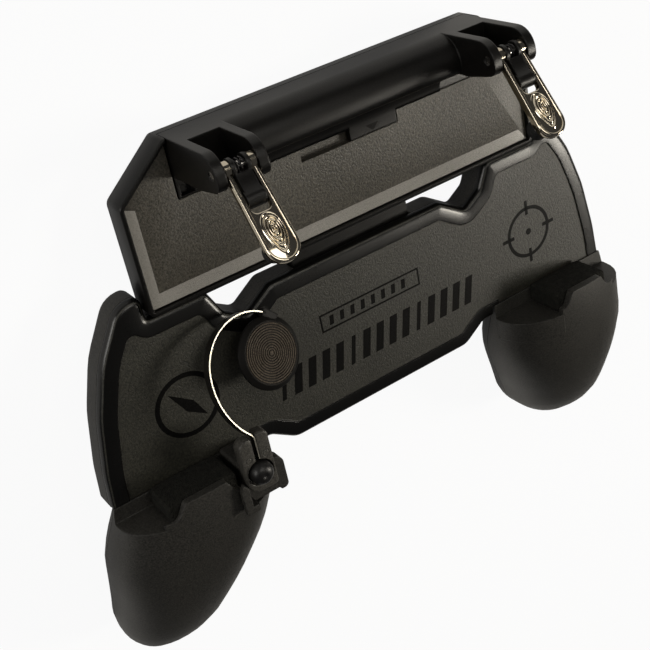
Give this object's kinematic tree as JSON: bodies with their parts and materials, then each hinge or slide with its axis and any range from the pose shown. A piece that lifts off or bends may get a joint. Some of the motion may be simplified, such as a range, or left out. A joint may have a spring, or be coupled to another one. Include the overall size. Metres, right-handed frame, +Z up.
{
  "type": "mobile game controller",
  "caption": "Clip-on phone game controller: base with hand grips, sprung sliding clamp for the phone, screen-tapping trigger levers and a thumb pad on a swivelling steel band.",
  "frame": {"origin": "middle of the object's footprint, on the table it lies on", "axes": "+X to the right grip, +Y from the grips to the clamp, +Z up; the panel leans 12.4 degrees because the object lies on the backs of its grips and the rear edge of its clamp"},
  "size_m": [0.1606, 0.1426, 0.042],
  "materials": {
    "black_plastic": "satin moulded black",
    "grained_plastic": "fine leather-like grain",
    "foam": "closed-cell foam",
    "rubber": "conductive rubber, matt",
    "chrome": "bright plated",
    "steel": "spring steel"
  },
  "bodies": {
    "base": {"rear_shell": "black_plastic", "front_panel": "grained_plastic", "left_grip_shell": "black_plastic", "right_grip_shell": "black_plastic", "left_grip_cover": "black_plastic", "right_grip_cover": "black_plastic", "left_foam_pad": "foam", "right_foam_pad": "foam", "case_screws": "steel", "left_return_spring": "steel", "right_return_spring": "steel", "joystick_bracket": "black_plastic", "joystick_pivot": "black_plastic"},
    "clamp": {"clamp_frame": "black_plastic", "clamp_plate": "grained_plastic", "clamp_hood": "black_plastic", "clamp_screws": "steel", "left_trigger_pin": "steel", "right_trigger_pin": "steel"},
    "left_trigger": {"left_trigger_lever": "chrome", "left_trigger_block": "black_plastic", "left_trigger_spring": "steel", "left_trigger_foot": "rubber"},
    "right_trigger": {"right_trigger_lever": "chrome", "right_trigger_block": "black_plastic", "right_trigger_spring": "steel", "right_trigger_foot": "rubber"},
    "joystick": {"joystick_arm": "black_plastic", "joystick_rivets": "steel"},
    "band": {"spring_band": "steel"},
    "thumb": {"thumb_pad": "grained_plastic", "pad_contact": "rubber"}
  },
  "joints": [
    {"name": "clamp_slide", "type": "slide", "parent": "base", "child": "clamp", "axis": [0, 0.9768, -0.2139], "range_m": [0, 0.025], "stiffness_N_per_m": 60, "springref_m": -0.03, "deforming": ["left_return_spring", "right_return_spring"]},
    {"name": "left_trigger_press", "type": "hinge", "parent": "clamp", "child": "left_trigger", "pos_m": [-0.0352, 0.06767, 0.02503], "axis": [1, 0, 0], "range_deg": [0, 52], "stiffness_Nm_per_rad": 0.012, "springref_deg": -17.19},
    {"name": "right_trigger_press", "type": "hinge", "parent": "clamp", "child": "right_trigger", "pos_m": [0.0352, 0.06767, 0.02503], "axis": [1, 0, 0], "range_deg": [0, 52], "stiffness_Nm_per_rad": 0.012, "springref_deg": -17.19},
    {"name": "joystick_swing", "type": "hinge", "parent": "base", "child": "joystick", "pos_m": [-0.04425, -0.00635, 0.03295], "axis": [0, 0.2139, 0.9768], "range_deg": [-90, 5]},
    {"name": "joystick_sway", "type": "hinge", "parent": "joystick", "child": "band", "pos_m": [-0.0437, 0.00329, 0.03114], "axis": [0, 0.2139, 0.9768], "range_deg": [-8, 8], "stiffness_Nm_per_rad": 0.12, "deforming": ["spring_band"]},
    {"name": "thumb_reach", "type": "slide", "parent": "band", "child": "thumb", "axis": [0.6666, 0.7282, -0.1595], "range_m": [-0.003, 0.003], "stiffness_N_per_m": 150, "deforming": ["spring_band"]}
  ]
}
